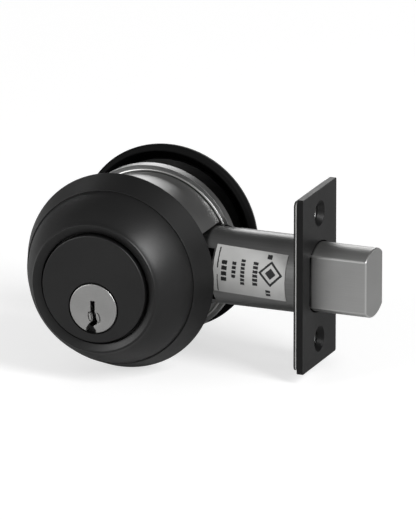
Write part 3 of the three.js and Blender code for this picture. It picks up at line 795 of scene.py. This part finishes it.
knobSet = {"baseR": 12, "baseTop": 33.2, "chamferR": 1.2, "chamferY": 0.5, "length": 31, "thick": 9,
           "edge": 1.4, "socketR": 4.3, "socketEnd": 40.4}


def makeKnob():
    k = knobSet
    frontY, endY = knobLow.y, knobHigh.y
    topY, endR = k["baseTop"], k["thick"] / 2
    outline = [(0, frontY), (k["baseR"], frontY), (k["baseR"], topY - k["chamferY"]),
               (k["baseR"] - k["chamferR"], topY), (0, topY)]
    base = turnPiece("thumbturnKnob", outline, (0, 0, plugZ), steps=96)
    half = k["length"] / 2 - endR
    grip = arcPoints(half, plugZ, endR, -90, 90, 14) + arcPoints(-half, plugZ, endR, 90, 270, 14)
    blade = slabPiece("blade", grip, topY - k["chamferY"], endY, "Y")
    softenEdges(blade, k["edge"], 5, 40)
    fuse(base, blade)
    cutAway(base, rodPiece("socket", k["socketR"], frontY - 1, k["socketEnd"], (0, 0, plugZ), steps=48))
    return dress(base, paint, "thumbturn", "black_paint", "thumbturn_knob")


spindleSet = {"chamfer": 0.4, "grooveY": (23.9, 25.3), "grooveDepth": 0.8}


def makeSpindle():
    r, startY, endY = spindleHigh.x, spindleLow.y, spindleHigh.y
    chamfer, grooveR = spindleSet["chamfer"], r - spindleSet["grooveDepth"]
    frontY, backY = spindleSet["grooveY"]
    outline = [(0, startY), (r - chamfer, startY), (r, startY + chamfer), (r, frontY), (grooveR, frontY),
               (grooveR, backY), (r, backY), (r, endY), (0, endY)]
    spindle = turnPiece("thumbturnSpindle", outline, (0, 0, plugZ), steps=64)
    cutAway(spindle, bladeTool(startY - 1, bladeSlot["spindleY"]))
    return dress(spindle, castZinc, "thumbturn", "cast_zinc", "thumbturn_spindle")


throughSet = {"r": 2.3, "headR": 4.2, "headLength": 2.5, "headEdge": 1.2, "pitch": 0.8, "turns": 22,
              "threadDepth": 0.42, "shankR": 2.1, "slotDepth": 1.1, "slotHalf": 0.5}


# A long screw with a rolled thread on its last stretch and a slotted head.
def makeThroughBolt(number):
    t = throughSet
    low, high = boxOf("through_bolt_%d" % number)
    z = (low.z + high.z) / 2
    r, headR, seatY = t["r"], t["headR"], high.y - t["headLength"]
    threadY = low.y + 1
    outline = [(0, low.y), (r * 0.7, low.y)]
    for i in range(t["turns"]):
        y = threadY + t["pitch"] * i
        outline += [(r - t["threadDepth"], y), (r, y + t["pitch"] * 0.5)]
    outline += [(t["shankR"], threadY + t["pitch"] * t["turns"]), (t["shankR"], seatY), (headR, seatY),
                (headR, seatY + t["headEdge"])]
    outline += curvePoints((headR - 0.1, seatY + 1.5), (headR * 0.9, seatY + 2.1), (headR * 0.6, high.y),
                           (headR * 0.4, high.y), 6)
    outline += [(0, high.y)]
    screw = turnPiece("throughBolt%d" % number, outline, (0, 0, z), steps=48)
    cutAway(screw, blockPiece("slot", (-headR - 1, high.y - t["slotDepth"], z - t["slotHalf"]),
                              (headR + 1, high.y + 1, z + t["slotHalf"])))
    return dress(screw, brightSteel, "lock_case", "zinc_plated_steel", "through_bolt_%d" % number)


makeRose()
makeKnob()
makeSpindle()
makeThroughBolt(1)
makeThroughBolt(2)
print("inside trim made")


finishOfSlot = {"black_paint": paint, "satin_steel": boltSteel, "nickel_silver": plugNickel,
                "cast_zinc": castZinc, "zinc_plated_steel": brightSteel, "hardened_steel": darkSteel,
                "spring_steel": brightSteel, "pin_brass": pinBrass, "label_stock": plated}
for entry in frame["record"]["subparts"]:
    kept = nodes[entry["node"]]
    kept.data.materials.clear()
    kept.data.materials.append(finishOfSlot[entry["material_slot"]])
print("frame pieces finished")


studioSet = {
    "floorZ": collarLow.z - 0.05, "floorSize": 8, "floorTone": 0.5, "floorGlow": 0.64, "floorBounce": 0.05,
    "overhead": 0.26, "horizon": 0.52, "behind": 0.35,
    "softboxes": [("keyLight", (-1.1, -1.0, 0.5), (0.7, 0.9), 7),      # name, place, size, watts
                  ("rightLight", (1.2, -0.45, 0.95), (0.6, 0.9), 18.5),
                  ("backLight", (-0.55, 1.3, 0.5), (0.9, 0.35), 3.5)],
}


def makeFloor():
    leaveEdit()
    bpy.ops.mesh.primitive_plane_add(size=studioSet["floorSize"], location=(0, 0, studioSet["floorZ"] * mm))
    floor = bpy.context.object
    floor.name = "floor"
    board = Board("floorPaper")
    cloud = board.noise(6, 3)
    tone = studioSet["floorTone"]
    seen = board.node("ShaderNodeLightPath")      # the paper glows for the camera and not in reflections
    floor.data.materials.append(board.finish(
        Base_Color=board.ramp(cloud, [(0, grey(tone - 0.01)), (1, grey(tone + 0.01))]), Roughness=0.9,
        Emission_Color=board.mixColour(seen, (*grey(studioSet["floorBounce"]), 1), (1, 1, 1, 1)),
        Emission_Strength=studioSet["floorGlow"]))


# Light from all round for the object, dim overhead and behind; the camera sees it as white.
def makeWorld():
    world = bpy.data.worlds.new("studio")
    bpy.context.scene.world = world
    board = Board("studio", world)
    level = board.node("ShaderNodeMapRange", None, {
        "Value": board.reach("Z", "Generated"), "From Min": 0.12, "From Max": 0.62,
        "To Min": studioSet["horizon"], "To Max": studioSet["overhead"]})
    front = board.node("ShaderNodeMapRange", None, {
        "Value": board.reach("Y", "Generated"), "From Min": -0.2, "From Max": 0.6,
        "To Min": 1.0, "To Max": studioSet["behind"]})
    seen = board.node("ShaderNodeLightPath")
    board.finish(Color=board.mixColour(seen, level * front, (1, 1, 1, 1)))


def softbox(name, place, size, power, aim=(0.01, 0, 0)):
    leaveEdit()
    bpy.ops.object.light_add(type="AREA", location=place)
    light = bpy.context.object
    light.name = name
    light.data.shape = "RECTANGLE"
    light.data.size, light.data.size_y = size
    light.data.energy = power
    light.rotation_mode = "QUATERNION"
    light.rotation_quaternion = (Vector(aim) - Vector(place)).to_track_quat("-Z", "Y")


makeFloor()
makeWorld()
for lamp in studioSet["softboxes"]:
    softbox(*lamp)
bpy.context.scene.view_settings.view_transform = "Standard"
print("studio lit")

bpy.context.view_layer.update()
leaveEdit()
